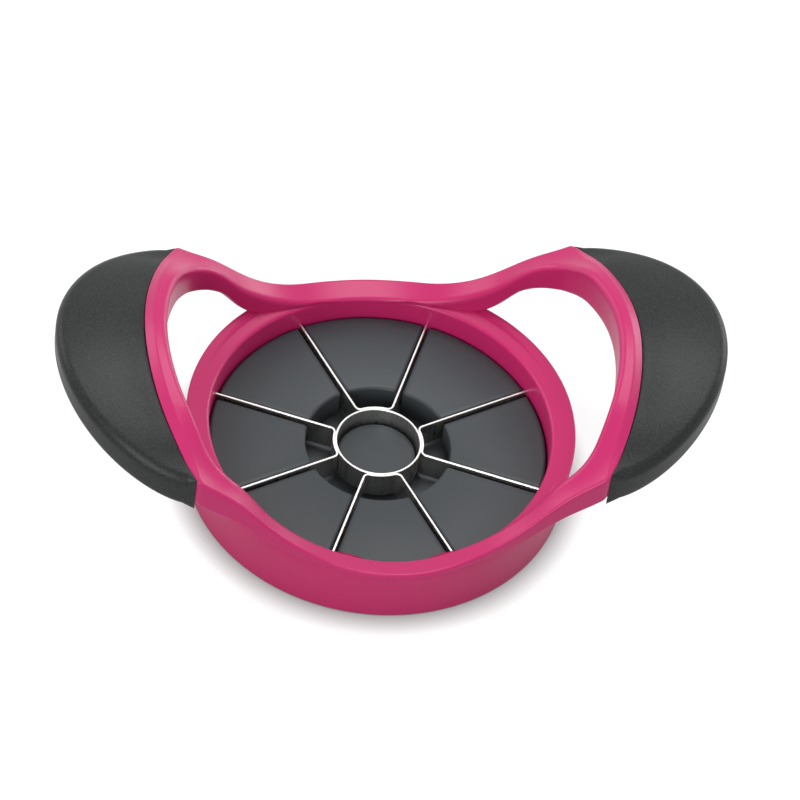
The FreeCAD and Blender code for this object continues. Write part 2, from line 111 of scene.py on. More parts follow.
# Weld a wrapped sheet where it meets itself, and fill what stays open at its ends.
def closeSheet(bm, weld):
    bmesh.ops.remove_doubles(bm, verts=bm.verts, dist=weld)
    bmesh.ops.holes_fill(bm, edges=[edge for edge in bm.edges if edge.is_boundary])


# Weld, scale to metres, and shade smooth with crisp edges above the crease angle.
def finishMesh(bm, name, crease):
    bmesh.ops.remove_doubles(bm, verts=bm.verts, dist=welds["coarse"])
    bmesh.ops.dissolve_degenerate(bm, edges=bm.edges, dist=welds["fine"])
    bmesh.ops.recalc_face_normals(bm, faces=bm.faces)
    bmesh.ops.scale(bm, vec=(mm, mm, mm), verts=bm.verts)
    for face in bm.faces:
        face.smooth = True
    for edge in bm.edges:
        if len(edge.link_faces) == 2:
            edge.smooth = edge.calc_face_angle() < math.radians(crease)
    mesh = bpy.data.meshes.new(name)
    bm.to_mesh(mesh)
    bm.free()
    piece = bpy.data.objects.new(name, mesh)
    bpy.context.scene.collection.objects.link(piece)
    return piece


# Sizes of the frame. The grips and the skirt follow them too.
sizes = {
    "rimRadius": 53.6, "throatRadius": 47.0, "rimHeight": 18.5, "sideRise": 1.3,
    "funnelFall": 1.67, "funnelFade": 30.0, "fadePower": 6,
    "seamHeight": 17.0, "seamRise": 1.7, "seamSpread": 22.0,             # crease over the skirt
    "loopReach": 67.0, "loopRadius": 61.0, "loopCorner": 14.0, "loopHeight": 57.2,
    "loopCurve": 81.0, "loopFade": (-1.0, 4.5),                          # how an arm becomes loop
    "armPower": 2.38, "armHalfWidth": 42.5, "armLip": 1.5, "armDepth": 9.2, "armSwell": 41.0,
    "swellPower": 3, "floorLean": 0.45,
    "shoulderPlace": 44.0, "shoulderBulge": 4.1, "shoulderWidth": 11.0,
    "levelStart": 34.0, "levelEnd": 48.0, "levelSide": 46.0, "levelLoop": 22.0,
    "cornerRise": 1.0, "cornerPlace": 60.0, "cornerLength": 9.0, "cornerSide": 32.0,
    "cornerWidth": 10.0,
    "startAngle": 72.0, "innerAngle": 76.0,                              # where an arm leaves
    "chamferWidth": 2.4, "chamferDrop": 1.6,                             # light strip on a loop
    "creaseRadius": 1.0, "innerRadius": 1.9, "throatRound": 1.0, "lowerRadius": 0.35,
}


# Where the loop ends and the grip begins.
def edgeX(y):
    return sizes["loopReach"] - sizes["loopCurve"] + math.sqrt(sizes["loopCurve"] ** 2 - y * y)


# 0 on the arm and 1 on the loop.
def loopShare(x):
    corner = edgeX(sizes["armHalfWidth"])
    return smoothStep(x, corner + sizes["loopFade"][0], corner + sizes["loopFade"][1])


# How far a place on the loop lies in from its outer edge, fading to nothing along the arm.
def inwards(x, y):
    level = smoothStep(abs(x), sizes["levelStart"], sizes["levelEnd"])
    level *= 1 - smoothStep(abs(y), sizes["levelLoop"], sizes["levelSide"])
    return (edgeX(y) - abs(x)) * level


# Height along the arm, with the loop's top level across its width.
def armHeight(x, y):
    along = abs(x) + inwards(x, y)
    climb = (along / sizes["loopReach"]) ** sizes["armPower"]
    bulge = math.exp(-((along - sizes["shoulderPlace"]) / sizes["shoulderWidth"]) ** 2)
    return (sizes["rimHeight"] + (sizes["loopHeight"] - sizes["rimHeight"]) * climb
            + sizes["shoulderBulge"] * bulge)


def cornerBump(x, y):
    along = (abs(x) - sizes["cornerPlace"]) / sizes["cornerLength"]
    across = (abs(y) - sizes["cornerSide"]) / sizes["cornerWidth"]
    return sizes["cornerRise"] * math.exp(-along ** 2 - across ** 2)


def funnelDrop(x, y):
    rim = sizes["rimRadius"] ** 2
    return sizes["funnelFall"] * (rim - x * x - y * y) / (rim - sizes["throatRadius"] ** 2)


def crestHeight(x, y):
    fade = 1 / (1 + (x / sizes["funnelFade"]) ** sizes["fadePower"])
    return armHeight(x, y) + cornerBump(x, y) - funnelDrop(x, y) * fade


def armFloor(x, y):
    share = 1 - math.exp(-(abs(x) / sizes["armSwell"]) ** sizes["swellPower"])
    deep = sizes["armLip"] + (sizes["armDepth"] - sizes["armLip"]) * share
    return armHeight(x, y) + cornerBump(x, y) - deep - sizes["floorLean"] * inwards(x, y)


# Height of the crease between frame and skirt.
def seamLine(x):
    return sizes["seamHeight"] + sizes["seamRise"] * (1 - math.exp(-(x / sizes["seamSpread"]) ** 2))


# The band: both arms and both loops in one sweep. One quarter is made and mirrored twice.
bandSizes = {
    "front": 14, "arm": 46, "corner": 6, "loop": 34,                     # stations along it
    "top": 14, "side": 6, "round": 6,                                    # places round a section
    "clip": 1.1, "bendShare": 0.48, "halfBend": 0.6,                     # the loop's outer corner
    "throatGap": 0.04, "lipGrowth": (14, 34),
    "buriedFoot": 15.4, "buriedRise": 2.0, "buriedReach": (4, 14),       # foot inside the rim
    "freeReach": (26, 42), "freeRound": 1.1, "underShare": 0.6,          # foot past the rim
    "crease": 50,
}


# A point of the circle arc through three points, by its share of the angle.
def arcPoint(first, middle, last, share):
    a, b, c = first.to_2d(), middle.to_2d(), last.to_2d()
    aa, bb, cc = a.length_squared, b.length_squared, c.length_squared
    area = 2 * (a.x * (b.y - c.y) + b.x * (c.y - a.y) + c.x * (a.y - b.y))
    centre = Vector(((aa * (b.y - c.y) + bb * (c.y - a.y) + cc * (a.y - b.y)) / area,
                     (aa * (c.x - b.x) + bb * (a.x - c.x) + cc * (b.x - a.x)) / area))
    start = math.atan2(a.y - centre.y, a.x - centre.x)
    swing = math.remainder(math.atan2(c.y - centre.y, c.x - centre.x) - start, math.tau)
    radius = (a - centre).length
    angle = start + swing * share
    return Vector((centre.x + radius * math.cos(angle), centre.y + radius * math.sin(angle), 0))


# The opening's edge from the throat to the loop's tip: line, corner arc, loop arc.
def innerPath():
    radius = sizes["loopCorner"]
    touch = polar(sizes["throatRadius"], sizes["innerAngle"])
    along = Vector((touch.y, -touch.x, 0)).normalized()
    offset = sizes["throatRadius"] - radius
    reach = math.sqrt((sizes["loopRadius"] - radius) ** 2 - offset ** 2)
    centre = polar(offset, sizes["innerAngle"]) + along * reach
    lineEnd = centre + polar(radius, sizes["innerAngle"])
    tip = math.degrees(math.atan2(centre.y, centre.x))
    line = (lineEnd - touch).length
    arc = radius * math.radians(sizes["innerAngle"] - tip)
    loop = sizes["loopRadius"] * math.radians(tip)

    def at(distance):
        if distance <= line:
            return touch.lerp(lineEnd, distance / line)
        distance -= line
        if distance <= arc:
            return centre + polar(radius, sizes["innerAngle"] - math.degrees(distance / radius))
        distance -= arc
        return polar(sizes["loopRadius"], tip - math.degrees(distance / sizes["loopRadius"]))

    return at, line, arc, loop


# Outer and inner edge of the band, station by station over one quarter.
def bandLines():
    inner, line, arc, loop = innerPath()
    bend = line + bandSizes["bendShare"] * arc       # the inner place that faces the outer corner
    halfBend, clip = bandSizes["halfBend"], bandSizes["clip"]
    half, rim = sizes["armHalfWidth"], sizes["rimRadius"]
    start = polar(rim, sizes["startAngle"])
    corner = Vector((edgeX(half), half, 0))
    along = Vector((start.y, -start.x, 0)).normalized()
    chord = corner - start
    turn = math.atan2(along.cross(chord).z, along.dot(chord))
    across = Vector((chord.y, -chord.x, 0)).normalized()
    middle = (start + corner) / 2 + across * (chord.length / 2 * math.tan(turn / 2))
    beforeCorner = 1 - clip / chord.length
    afterCorner = half - clip
    first = arcPoint(start, middle, corner, beforeCorner)
    last = Vector((edgeX(afterCorner), afterCorner, 0))
    throat = sizes["throatRadius"] - bandSizes["throatGap"]
    lines = []
    for share in shares(bandSizes["front"])[:-1]:
        lines.append((polar(rim, 90 - (90 - sizes["startAngle"]) * share),
                      polar(throat, 90 - (90 - sizes["innerAngle"]) * share)))
    for share in shares(bandSizes["arm"])[:-1]:
        lines.append((arcPoint(start, middle, corner, share * beforeCorner),
                      inner(share * (bend - halfBend))))
    for share in shares(bandSizes["corner"])[:-1]:
        lines.append((turned(first, corner, last, share),
                      inner(bend - halfBend + 2 * halfBend * share)))
    for share in shares(bandSizes["loop"]):
        y = afterCorner * (1 - share)
        lines.append((Vector((edgeX(y), y, 0)),
                      inner(bend + halfBend + (line + arc + loop - bend - halfBend) * share)))
    return lines


# The band's section at one station, from the outer foot over the top and back below.
def bandSection(outer, inner):
    width = (outer - inner).length
    onLoop = loopShare(outer.x)
    crease, low = sizes["creaseRadius"], sizes["lowerRadius"]
    shoulder = crease + (sizes["chamferWidth"] - crease) * onLoop
    lip = sizes["throatRound"]
    lip += (sizes["innerRadius"] - lip) * smoothStep(outer.x, *bandSizes["lipGrowth"])
    outerFoot = armFloor(outer.x, outer.y)
    free = smoothStep(inner.x, *bandSizes["freeReach"])
    rise = bandSizes["buriedRise"] * smoothStep(inner.x, *bandSizes["buriedReach"])
    innerFoot = (bandSizes["buriedFoot"] + rise) * (1 - free) + armFloor(inner.x, inner.y) * free
    footRound = low + bandSizes["freeRound"] * free
    points = []

    def at(distance, height):
        spot = outer.lerp(inner, distance / width)
        points.append(Vector((spot.x, spot.y, height)))

    def top(distance):
        spot = outer.lerp(inner, distance / width)
        flank = sizes["chamferDrop"] * max(1 - distance / shoulder, 0.0) * onLoop
        edge = roundDrop(crease, distance) * (1 - onLoop)
        return crestHeight(spot.x, spot.y) - flank - edge - roundDrop(lip, width - distance)

    sideTop, lipFoot = top(0.0), top(width)
    rounding = quarterTurn(bandSizes["round"])[:-1]
    for angle in rounding:                           # outer lower edge
        at(low * (1 - math.sin(angle)), outerFoot + low * (1 - math.cos(angle)))
    for share in shares(bandSizes["side"])[:-1]:     # outer side
        at(0, outerFoot + low + (sideTop - outerFoot - low) * share)
    for angle in rounding:                           # outer shoulder
        distance = shoulder * (1 - math.cos(angle))
        at(distance, top(distance))
    for step in range(bandSizes["top"]):             # top
        distance = shoulder + (width - shoulder - lip) * step / bandSizes["top"]
        at(distance, top(distance))
    for angle in rounding:                           # inner lip
        distance = width - lip * (1 - math.sin(angle))
        at(distance, top(distance))
    for share in shares(bandSizes["side"])[:-1]:     # inner side
        at(width, lipFoot + (innerFoot + footRound - lipFoot) * share)
    for angle in rounding:                           # inner lower edge
        at(width - footRound * (1 - math.cos(angle)), innerFoot + footRound * (1 - math.sin(angle)))
    for share in shares(bandSizes["top"] // 2):      # underside
        tilt = smoothStep(share, 0, bandSizes["underShare"])
        at(width - footRound + (low - width + footRound) * share,
           innerFoot + (outerFoot - innerFoot) * tilt)
    return points


def makeBand():
    sections = [bandSection(outer, inner) for outer, inner in bandLines()]
    bm = skin(len(sections) - 1, len(sections[0]) - 1,
              lambda station, place: sections[station][place])
    mirrorOver(bm, "X")
    mirrorOver(bm, "Y")
    return finishMesh(bm, "handleBand", bandSizes["crease"])


rimSizes = {
    "radius": 53.5, "tuck": 0.25, "tuckReach": 18.0, "edgeRound": 0.5, "throatRound": 0.8,
    "spigotRadius": 50.5, "spigotBottom": 14.0, "wallRadius": 48.8, "wallBottom": 4.1,
    "seamOverlap": 0.02, "roundSteps": 4, "funnelRows": 8, "steps": 256, "crease": 50,
}


# The rim ring with its funnel, the throat wall and the spigot that sits in the skirt. Two
# heights follow x: the profile marks them, and they are set after it is spun.
def makeRim():
    topMark, seamMark = 100.0, 200.0
    radius, throat = rimSizes["radius"], sizes["throatRadius"]
    edge, lip = rimSizes["edgeRound"], rimSizes["throatRound"]
    spigot, spigotBottom = rimSizes["spigotRadius"], rimSizes["spigotBottom"]
    wall, wallBottom = rimSizes["wallRadius"], rimSizes["wallBottom"]
    rounding, rows = quarterTurn(rimSizes["roundSteps"]), rimSizes["funnelRows"]
    profile = [(throat, wallBottom), (throat, topMark - lip)]
    for angle in rounding[1:]:
        profile.append((throat + lip * (1 - math.cos(angle)),
                        topMark - lip + lip * math.sin(angle)))
    for row in range(1, rows):
        profile.append((throat + lip + (radius - edge - throat - lip) * row / rows, topMark))
    for angle in rounding:
        profile.append((radius - edge * (1 - math.sin(angle)),
                        topMark - edge * (1 - math.cos(angle))))
    profile += [(radius, seamMark), (spigot, seamMark), (spigot, spigotBottom),
                (wall, spigotBottom), (wall, wallBottom)]
    bm = spun(profile, rimSizes["steps"])
    for vert in bm.verts:
        x, y, height = vert.co
        if height > (topMark + seamMark) / 2:
            vert.co.z = seamLine(x) + rimSizes["seamOverlap"]
        elif height > topMark / 2:
            tuck = rimSizes["tuck"] * math.exp(-(x / rimSizes["tuckReach"]) ** 2)
            side = sizes["sideRise"] * (x / sizes["rimRadius"]) ** 2
            vert.co.z = height - topMark + sizes["rimHeight"] + side - funnelDrop(x, y) - tuck
    return finishMesh(bm, "rimFunnel", rimSizes["crease"])


gripSizes = {
    "inset": 1.0, "length": 24.0, "sidePower": 2.02, "tipPower": 1.39, "bulge": 2.46,  # outline
    "innerPower": 1.3, "gap": -0.12,                                     # line along the loop
    "peakOut": 11.5, "rise": -0.23, "fall": 0.004, "crown": 0.0063,      # dome
    "blend": 8.0, "armStep": 0.35, "loopStep": 1.5,                      # dip beside the loop
    "depth": 11.0, "thinning": 1.7, "thinPower": 3,
    "roll": 2.4, "lowerRoll": 3.0, "rollShare": 0.45, "edge": 0.8, "edgeShare": 0.1,
    "tiny": 1e-6, "stations": 120, "endCrowding": 1.25,
    "across": 26, "rollSteps": 9, "edgeSteps": 4, "sideSteps": 4, "crease": 60,
}


def gripDome(x, y):
    peak = sizes["loopReach"] + gripSizes["peakOut"]
    height = sizes["loopHeight"] + gripSizes["rise"]
    return height - gripSizes["fall"] * (x - peak) ** 2 - gripSizes["crown"] * y * y


# The dome, dipping beside the loop to meet the foot of the loop's rounded shoulder.
def gripTop(x, y):
    edge = edgeX(y)
    step = gripSizes["armStep"] + gripSizes["loopStep"] * loopShare(edge)
    dip = gripDome(edge, y) - crestHeight(edge, y) + step
    return gripDome(x, y) - dip / (1 + ((x - edge) / gripSizes["blend"]) ** 2)


def gripFloor(x, y):
    corner = edgeX(sizes["armHalfWidth"] - gripSizes["inset"])
    reach = sizes["loopReach"] + gripSizes["length"]
    share = max((x - corner) / (reach - corner), 0.0) ** gripSizes["thinPower"]
    return gripDome(x, y) - gripSizes["depth"] + gripSizes["thinning"] * share


# One slice of the right grip, from the loop out to the bow and back below.
def gripSection(turn):
    half = sizes["armHalfWidth"] - gripSizes["inset"]
    reach = sizes["loopReach"] + gripSizes["length"]
    corner = edgeX(half)
    yOut = math.copysign(half * abs(math.sin(turn)) ** (2 / gripSizes["sidePower"]), turn)
    yOut += gripSizes["bulge"] * math.sin(2 * turn)
    xOut = corner + (reach - corner) * max(math.cos(turn), 0.0) ** (2 / gripSizes["tipPower"])
    yIn = math.copysign(half * (abs(turn) / (math.pi / 2)) ** gripSizes["innerPower"], turn)
    inner = Vector((edgeX(yIn) + gripSizes["gap"], yIn, 0))
    outer = Vector((max(xOut, edgeX(yOut) + gripSizes["gap"]), yOut, 0))
    width = (outer - inner).length
    roll = min(gripSizes["roll"], width * gripSizes["rollShare"])
    lower = min(gripSizes["lowerRoll"], width * gripSizes["rollShare"])
    edge = min(gripSizes["edge"], width * gripSizes["edgeShare"])
    points = []

    def upper(x, y, distance):
        return gripTop(x, y) - roundDrop(edge, distance) - roundDrop(roll, width - distance)

    def under(x, y, distance):
        return gripFloor(x, y) + roundDrop(lower, width - distance) + roundDrop(edge, distance)

    # A point at a distance out, on the upper surface, the under one or a share of the way down.
    def at(distance, share):
        spot = inner.lerp(outer, distance / width) if width > gripSizes["tiny"] else inner
        place = spot.x, spot.y, distance
        height = upper(*place) * (1 - share) + under(*place) * share
        points.append(Vector((spot.x, spot.y, height)))

    across, down = gripSizes["across"], shares(gripSizes["sideSteps"])[1:-1]
    rolling, edging = quarterTurn(gripSizes["rollSteps"]), quarterTurn(gripSizes["edgeSteps"])[:-1]
    for angle in edging:                             # edge beside the loop
        at(edge * (1 - math.cos(angle)), 0)
    for step in range(across):                       # top
        at(edge + (width - edge - roll) * step / across, 0)
    for angle in rolling:                            # rolled edge
        at(width - roll * (1 - math.sin(angle)), 0)
    for share in down:                               # side
        at(width, share)
    for angle in rolling[:-1]:                       # lower roll
        at(width - lower * (1 - math.cos(angle)), 1)
    for step in range(across):                       # underside
        at(width - lower + (edge - width + lower) * step / across, 1)
    for angle in edging:                             # lower edge beside the loop
        at(edge * math.cos(angle), 1)
    for share in down:                               # wall beside the loop
        at(0, 1 - share)
    points.append(points[0].copy())
    return points


def makeGrip(name, side):
    count = gripSizes["stations"]
    sections = []
    for station in range(count + 1):
        share = 2 * station / count - 1
        crowded = 1 - (1 - abs(share)) ** gripSizes["endCrowding"]
        sections.append(gripSection(math.pi / 2 * math.copysign(crowded, share)))
    bm = skin(count, len(sections[0]) - 1, lambda station, place: sections[station][place])
    for vert in bm.verts:
        vert.co.x *= side
    closeSheet(bm, welds["coarse"])
    return finishMesh(bm, name, gripSizes["crease"])


skirtSizes = {
    "footRadius": 52.5, "topRadius": 53.4, "boreRadius": 50.6, "sideLean": 0.05, "seamGap": 0.03,
    "footRound": 0.5, "topRound": 0.25, "boreRound": 0.3, "smallSteps": 3,
    "sideRows": 8, "steps": 256, "crease": 50,
}


def makeSkirt():
    seam = 100.0                                     # mark of the height that follows x
    foot, top, bore = skirtSizes["footRadius"], skirtSizes["topRadius"], skirtSizes["boreRadius"]
    rows, few = skirtSizes["sideRows"], skirtSizes["smallSteps"]
    profile = cornerArc((bore, 0), (bore, 1), (foot, 0), skirtSizes["boreRound"], few)
    profile += cornerArc((foot, 0), (bore, 0), (foot + skirtSizes["sideLean"], 1),
                         skirtSizes["footRound"])
    for row in range(1, rows):
        profile.append((foot + (top - foot) * row / rows, sizes["seamHeight"] * row / rows))
    profile += cornerArc((top, seam), (top, seam - 1), (bore, seam), skirtSizes["topRound"], few)
    profile.append((bore, seam))
    bm = spun(profile, skirtSizes["steps"])
    for vert in bm.verts:
        if vert.co.z > seam / 2:
            vert.co.z += seamLine(vert.co.x) - skirtSizes["seamGap"] - seam
    return finishMesh(bm, "skirtRing", skirtSizes["crease"])


bladeSizes = {
    "top": 11.0, "bottom": 2.7, "thickness": 0.6, "grind": 1.1, "edgeHalf": 0.03, "topRound": 0.1,
    "legEnd": 48.4, "legJoin": 12, "halfAngle": 22.5, "bend": 1.2, "bendSteps": 8, "hubSteps": 8,
    "boreRadius": 11.4, "tubeWall": 0.6, "tubeEdge": 0.08, "tubeRound": 0.12, "tubeSteps": 96,
    "crease": 30,
}


# Centre line of a folded strip: leg, bend, hub arc, bend, leg.
def stripPath():
    half = bladeSizes["halfAngle"]
    hub = bladeSizes["boreRadius"] + bladeSizes["tubeWall"] + bladeSizes["thickness"] / 2
    bend = bladeSizes["bend"] + bladeSizes["thickness"] / 2
    run = math.sqrt((hub + bend) ** 2 - bend ** 2)
    out = polar(1, half)
    across = Vector((-out.y, out.x, 0))
    centre = out * run - across * bend
    facing = math.degrees(math.atan2(centre.y, centre.x))
    points = [out * bladeSizes["legEnd"], out * (run + bladeSizes["legJoin"])]
    start = half + 90
    swing = math.degrees(math.remainder(math.radians(facing + 180 - start), math.tau))
    bendSteps = bladeSizes["bendSteps"]
    for step in range(bendSteps + 1):
        points.append(centre + polar(bend, start + swing * step / bendSteps))
    for share in shares(bladeSizes["hubSteps"])[1:-1]:
        points.append(polar(hub, facing * (1 - share)))
    other = [Vector((point.x, -point.y, 0)) for point in points]
    return points + [polar(hub, 0)] + other[::-1]


def makeStrip(name, turn):
    path = stripPath()
    half, rounding = bladeSizes["thickness"] / 2, bladeSizes["topRound"]
    top, bottom, edge = bladeSizes["top"], bladeSizes["bottom"], bladeSizes["edgeHalf"]
    ground = bottom + bladeSizes["grind"]
    section = [(-half, top - rounding), (-half + rounding, top), (half - rounding, top),
               (half, top - rounding), (half, ground), (edge, bottom), (-edge, bottom),
               (-half, ground), (-half, top - rounding)]

    def place(station, spot):
        before = path[max(station - 1, 0)]
        after = path[min(station + 1, len(path) - 1)]
        along = (after - before).normalized()
        side, height = section[spot]
        return path[station] + Vector((-along.y, along.x, 0)) * side + Vector((0, 0, height))

    bm = skin(len(path) - 1, len(section) - 1, place)
    closeSheet(bm, welds["fine"])
    bmesh.ops.rotate(bm, verts=bm.verts, matrix=Matrix.Rotation(math.radians(turn), 3, "Z"))
    return finishMesh(bm, name, bladeSizes["crease"])


def makeCoreTube():
    inside, rounding = bladeSizes["boreRadius"], bladeSizes["tubeRound"]
    outside = inside + bladeSizes["tubeWall"]
    top, bottom = bladeSizes["top"], bladeSizes["bottom"]
    profile = [(inside, bottom), (inside + bladeSizes["tubeEdge"], bottom),
               (outside, bottom + bladeSizes["grind"]), (outside, top - rounding),
               (outside - rounding, top), (inside + rounding, top), (inside, top - rounding)]
    return finishMesh(spun(profile, bladeSizes["tubeSteps"]), "coreTube", bladeSizes["crease"])


baseSizes = {
    "discRadius": 50.1, "bottom": 0.5, "plateTop": 1.8, "discRound": 0.4,
    "padCount": 8, "padTop": 10.2, "padSink": 0.2, "padOuter": 46.5, "padInner": 20.0,
    "slotHalf": 0.8, "outerSteps": 18, "innerSteps": 8,
    "padRound": 0.9, "padSegments": 4, "sharpAngle": 40,                 # softened pad edges
    "postRadius": 10.9, "postTop": 6.0, "postCrown": 0.25, "postRound": 1.2, "postSteps": 6,
    "steps": 128, "crease": 45,
}


# Plan of one wedge pad, its sides parallel to the slots for the blades.
def padOutline(spread):
    points = []
    for radius, count, order in ((baseSizes["padOuter"], baseSizes["outerSteps"], 1),
                                 (baseSizes["padInner"], baseSizes["innerSteps"], -1)):
        reach = spread - math.degrees(math.asin(baseSizes["slotHalf"] / radius))
        for step in range(count + 1):
            points.append(polar(radius, order * (2 * step / count - 1) * reach))
    return points


def makeBase():
    radius, bottom, top = baseSizes["discRadius"], baseSizes["bottom"], baseSizes["plateTop"]
    post, postTop = baseSizes["postRadius"], baseSizes["postTop"]
    rounding, sink = baseSizes["discRound"], baseSizes["padSink"]
    profile = [(0, bottom)]
    profile += cornerArc((radius, bottom), (0, bottom), (radius, top), rounding)
    profile += cornerArc((radius, top), (radius, bottom), (0, top), rounding)
    profile.append((post, top))
    profile += cornerArc((post, postTop), (post, top), (0, postTop), baseSizes["postRound"],
                         baseSizes["postSteps"])
    profile.append((0, postTop + baseSizes["postCrown"]))
    bm = spun(profile, baseSizes["steps"])
    spread = 180 / baseSizes["padCount"]
    for index in range(baseSizes["padCount"]):
        verts = [bm.verts.new(point + Vector((0, 0, top - sink))) for point in padOutline(spread)]
        raised = bmesh.ops.extrude_face_region(bm, geom=[bm.faces.new(verts)])["geom"]
        upper = [item for item in raised if isinstance(item, bmesh.types.BMVert)]
        bmesh.ops.translate(bm, verts=upper, vec=(0, 0, baseSizes["padTop"] - top + sink))
        sharp = math.radians(baseSizes["sharpAngle"])
        rims = {edge for vert in upper for edge in vert.link_edges
                if edge.other_vert(vert) in upper or edge.calc_face_angle(0) > sharp}
        made = bmesh.ops.bevel(bm, geom=list(rims), offset=baseSizes["padRound"],
                               segments=baseSizes["padSegments"], profile=0.5, affect="EDGES",
                               material=-1, clamp_overlap=True)
        pad = [vert for vert in set(verts + upper + made["verts"]) if vert.is_valid]
        bmesh.ops.rotate(bm, verts=pad,
                         matrix=Matrix.Rotation(math.radians(2 * spread * index), 3, "Z"))
    return finishMesh(bm, "popOutBase", baseSizes["crease"])


# Finishes: sRGB colours, roughness, and pattern sizes in millimetres. Every pattern here is
# finer on the real thing than could show, so it is drawn as coarse as it needs to be.
finishes = {
    # Polypropylene from a polished mould: even magenta with a soft, broad shine.
    "glossMagentaPolypropylene": {
        "colour": "#c22868", "shade": "#bb2463", "roughness": 0.34, "grain": 0.9, "depth": 0.003},
    # Polypropylene from a finely textured mould: the same magenta, duller, with a blurred shine.
    "satinMagentaPolypropylene": {
        "colour": "#c22b67", "shade": "#ba2761", "roughness": 0.44, "grain": 0.6, "depth": 0.01},
    # Thermoplastic elastomer moulded over the loops against spark-textured steel: charcoal and
    # matte, with a gritty speckle.
    "charcoalSoftTouchElastomer": {
        "colour": "#141617", "fleck": "#2c2e2e", "roughness": 0.42, "grit": 0.5},
    # Grey polypropylene from a finely textured mould: plain and half matte.
    "greyMouldedPolypropylene": {
        "colour": "#3c4144", "shade": "#383d40", "roughness": 0.4, "grain": 0.6, "depth": 0.01},
    # Moulded non-slip rubber: dark and dull, with a faint bloom.
    "darkFootRubber": {
        "colour": "#2e2e2f", "fleck": "#3a3a3b", "roughness": 0.7, "grit": 0.4},
    # Stainless strip, ground along its height: bright, with faint upright streaks.
    "groundStainlessSteel": {"colour": "#d8d7d3", "roughness": 0.3, "lines": 0.5},
    # Plated screw steel: a little darker and duller than the blades.
    "platedScrewSteel": {"colour": "#b8b8b6", "roughness": 0.35, "lines": 0.4},
}


# An sRGB hex colour as linear red, green, blue and alpha.
def linear(colour):
    channels = [int(colour[place:place + 2], 16) / 255 for place in (1, 3, 5)]
    return [c / 12.92 if c <= 0.04045 else ((c + 0.055) / 1.055) ** 2.4 for c in channels] + [1.0]


# Noise scale whose features are about this large.
def perMetre(millimetres):
    return 1 / (millimetres * mm)


def addNode(tree, kind, inputs=None, **settings):
    node = tree.nodes.new(kind)
    for name, value in settings.items():
        setattr(node, name, value)
    for name, value in (inputs or {}).items():
        if isinstance(value, bpy.types.NodeSocket):
            tree.links.new(value, node.inputs[name])
        else:
            node.inputs[name].default_value = value
    return node


def newMaterial(name):
    material = bpy.data.materials.new(name)
    material.use_nodes = True
    material.node_tree.nodes.clear()
    return material, material.node_tree


mouldedLook = {"flow": 45, "shineSpread": 0.02, "relief": 0.1, "ior": 1.49, "specular": 0.29}


# Injection-moulded plastic: even colour, faint flow shading, fine skin texture.
def mouldedPlastic(name):
    look = finishes[name]
    dull, spread = look["roughness"], mouldedLook["shineSpread"]
    material, tree = newMaterial(name)
    where = addNode(tree, "ShaderNodeTexCoord").outputs["Object"]
    flow = addNode(tree, "ShaderNodeTexNoise", {
        "Vector": where, "Scale": perMetre(mouldedLook["flow"]), "Detail": 2.0})
    tint = addNode(tree, "ShaderNodeMix", {
        "Factor": flow.outputs["Fac"], "A": linear(look["colour"]), "B": linear(look["shade"])},
        data_type="RGBA")
    grain = addNode(tree, "ShaderNodeTexNoise", {
        "Vector": where, "Scale": perMetre(look["grain"]), "Detail": 3.0, "Roughness": 0.6})
    shine = addNode(tree, "ShaderNodeMapRange", {
        "Value": grain.outputs["Fac"], "From Min": 0.3, "From Max": 0.7,
        "To Min": dull - spread, "To Max": dull + spread})
    bump = addNode(tree, "ShaderNodeBump", {
        "Height": grain.outputs["Fac"], "Strength": mouldedLook["relief"],
        "Distance": look["depth"] * mm})
    shader = addNode(tree, "ShaderNodeBsdfPrincipled", {
        "Base Color": tint.outputs[2], "Roughness": shine.outputs["Result"],
        "IOR": mouldedLook["ior"], "Specular IOR Level": mouldedLook["specular"],
        "Normal": bump.outputs["Normal"]})
    addNode(tree, "ShaderNodeOutputMaterial", {"Surface": shader.outputs["BSDF"]})
    return material


softLook = {"fleckFrom": 0.38, "fleckTo": 0.72, "relief": 0.5, "depth": 0.1, "ior": 1.5,
            "specular": 0.24}


# Soft rubbery skin: dark ground with a paler grit standing on it.
def softTouch(name):
    look = finishes[name]
    material, tree = newMaterial(name)
    where = addNode(tree, "ShaderNodeTexCoord").outputs["Object"]
    grit = addNode(tree, "ShaderNodeTexNoise", {
        "Vector": where, "Scale": perMetre(look["grit"]), "Detail": 2.0, "Roughness": 0.6})
    fleck = addNode(tree, "ShaderNodeMapRange", {
        "Value": grit.outputs["Fac"], "From Min": softLook["fleckFrom"],
        "From Max": softLook["fleckTo"]})
    tint = addNode(tree, "ShaderNodeMix", {
        "Factor": fleck.outputs["Result"], "A": linear(look["colour"]),
        "B": linear(look["fleck"])}, data_type="RGBA")
    bump = addNode(tree, "ShaderNodeBump", {
        "Height": grit.outputs["Fac"], "Strength": softLook["relief"],
        "Distance": softLook["depth"] * mm})
    shader = addNode(tree, "ShaderNodeBsdfPrincipled", {
        "Base Color": tint.outputs[2], "Roughness": look["roughness"], "IOR": softLook["ior"],
        "Specular IOR Level": softLook["specular"], "Normal": bump.outputs["Normal"]})
    addNode(tree, "ShaderNodeOutputMaterial", {"Surface": shader.outputs["BSDF"]})
    return material


steelLook = {"stretch": 0.04, "smoother": 0.04, "rougher": 0.05, "relief": 0.05, "depth": 0.004}


